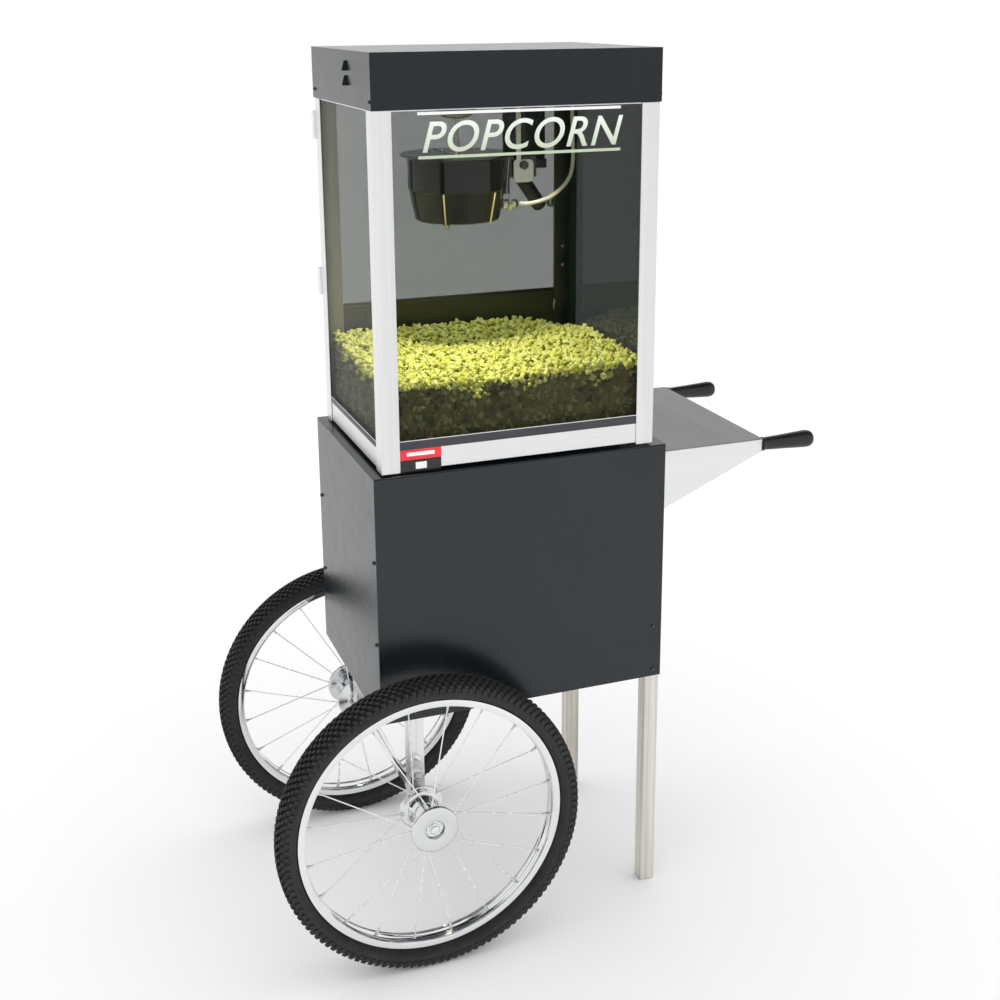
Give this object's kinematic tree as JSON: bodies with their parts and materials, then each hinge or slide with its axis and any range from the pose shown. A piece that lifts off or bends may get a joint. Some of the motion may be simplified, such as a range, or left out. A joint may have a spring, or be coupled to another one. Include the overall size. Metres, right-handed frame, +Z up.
{
  "type": "popcorn machine on a cart",
  "caption": "Glass-sided popcorn machine with a tilting kettle, standing on a black push cart with spoked wheels, legs and a push shelf with grips.",
  "frame": {"origin": "middle of the footprint, on the ground", "axes": "+X towards the push grips, +Y from the front glass towards the rear door, +Z up"},
  "size_m": [0.981, 0.556, 1.46],
  "materials": {
    "black_sheet": "satin",
    "stainless": "satin",
    "chrome": "polished",
    "tyre_rubber": "matte",
    "grip_rubber": "satin",
    "tinted_glass": "gloss",
    "kettle_enamel": "gloss",
    "black_plastic": "satin",
    "motor_metal": "satin",
    "lamp_glass": "satin",
    "popcorn": "matte"
  },
  "bodies": {
    "frame": {"cart_front_panel": "black_sheet", "cart_left_panel": "black_sheet", "cart_right_panel": "black_sheet", "cart_top_deck": "black_sheet", "cart_floor": "black_sheet", "cart_rear_panel": "black_sheet", "roof_cover": "black_sheet", "leg_front": "stainless", "leg_rear": "stainless", "axle_strut_front": "stainless", "axle_strut_rear": "stainless", "push_shelf": "stainless", "push_gusset_front": "stainless", "push_gusset_rear": "stainless", "base_pan": "stainless", "post_front_left": "stainless", "post_front_right": "stainless", "post_rear_left": "stainless", "post_rear_right": "stainless", "ceiling_plate": "stainless", "rear_lower_panel": "stainless", "deck_screen": "stainless", "kettle_hanger": "stainless", "kettle_conduit": "stainless", "axle": "chrome", "axle_nut_front": "chrome", "axle_nut_rear": "chrome", "kettle_pivot_bolt": "chrome", "grip_front": "grip_rubber", "grip_rear": "grip_rubber", "front_glass": "tinted_glass", "left_glass": "tinted_glass", "right_glass": "tinted_glass", "power_inlet": "black_plastic", "stir_motor": "motor_metal", "lamp": "lamp_glass", "popcorn_heap": "popcorn"},
    "wheel_front": {"tyre_front": "tyre_rubber", "rim_front": "chrome", "hub_front": "chrome"},
    "wheel_rear": {"tyre_rear": "tyre_rubber", "rim_rear": "chrome", "hub_rear": "chrome"},
    "door": {"door_glass": "tinted_glass", "door_hinge_top": "chrome", "door_hinge_bottom": "chrome", "door_knob": "chrome"},
    "cart_door": {"cart_door": "black_sheet", "cart_door_knob": "chrome"},
    "drawer": {"kernel_drawer": "stainless"},
    "kettle": {"kettle_shell": "kettle_enamel", "kettle_lid": "stainless", "kettle_arm": "kettle_enamel", "kettle_handle": "black_plastic"},
    "kettle_flap": {"kettle_lid_flap": "stainless"},
    "drive": {"drive_shaft": "chrome"},
    "stirrer": {"stirrer": "stainless"},
    "switch_kettle": {"switch_kettle": "black_plastic"},
    "switch_light": {"switch_light": "black_plastic"}
  },
  "joints": [
    {"name": "wheel_front_spin", "type": "hinge", "parent": "frame", "child": "wheel_front", "pos_m": [-0.2375, -0.25, 0.253], "axis": [0, 1, 0], "continuous": true},
    {"name": "wheel_rear_spin", "type": "hinge", "parent": "frame", "child": "wheel_rear", "pos_m": [-0.2375, 0.25, 0.253], "axis": [0, 1, 0], "continuous": true},
    {"name": "door_swing", "type": "hinge", "parent": "frame", "child": "door", "pos_m": [-0.284, 0.173, 1.2], "axis": [0, 0, 1], "range_deg": [0, 110]},
    {"name": "cart_door_swing", "type": "hinge", "parent": "frame", "child": "cart_door", "pos_m": [-0.2275, 0.1878, 0.66], "axis": [0, 0, 1], "range_deg": [0, 110]},
    {"name": "kernel_drawer_slide", "type": "slide", "parent": "frame", "child": "drawer", "axis": [0, 1, 0], "range_m": [0, 0.26]},
    {"name": "kettle_tilt", "type": "hinge", "parent": "frame", "child": "kettle", "pos_m": [0.0165, -0.015, 1.272], "axis": [0, -1, 0], "range_deg": [0, 70], "deforming": ["kettle_conduit"]},
    {"name": "kettle_lid_flap_hinge", "type": "hinge", "parent": "kettle", "child": "kettle_flap", "pos_m": [-0.1091, -0.005, 1.2944], "axis": [0, 1, 0], "range_deg": [0, 80]},
    {"name": "drive_spin", "type": "hinge", "parent": "frame", "child": "drive", "pos_m": [-0.0935, -0.005, 1.35], "axis": [0, 0, 1], "continuous": true},
    {"name": "stirrer_spin", "type": "hinge", "parent": "kettle", "child": "stirrer", "pos_m": [-0.0935, -0.005, 1.25], "axis": [0, 0, 1], "continuous": true},
    {"name": "switch_kettle_rock", "type": "hinge", "parent": "frame", "child": "switch_kettle", "pos_m": [0.0745, 0.176, 1.42], "axis": [1, 0, 0], "range_deg": [0, 16]},
    {"name": "switch_light_rock", "type": "hinge", "parent": "frame", "child": "switch_light", "pos_m": [0.1105, 0.176, 1.42], "axis": [1, 0, 0], "range_deg": [0, 16]}
  ],
  "couplings": [
    {"joint": "stirrer_spin", "follows": "drive_spin", "ratio": 1}
  ]
}
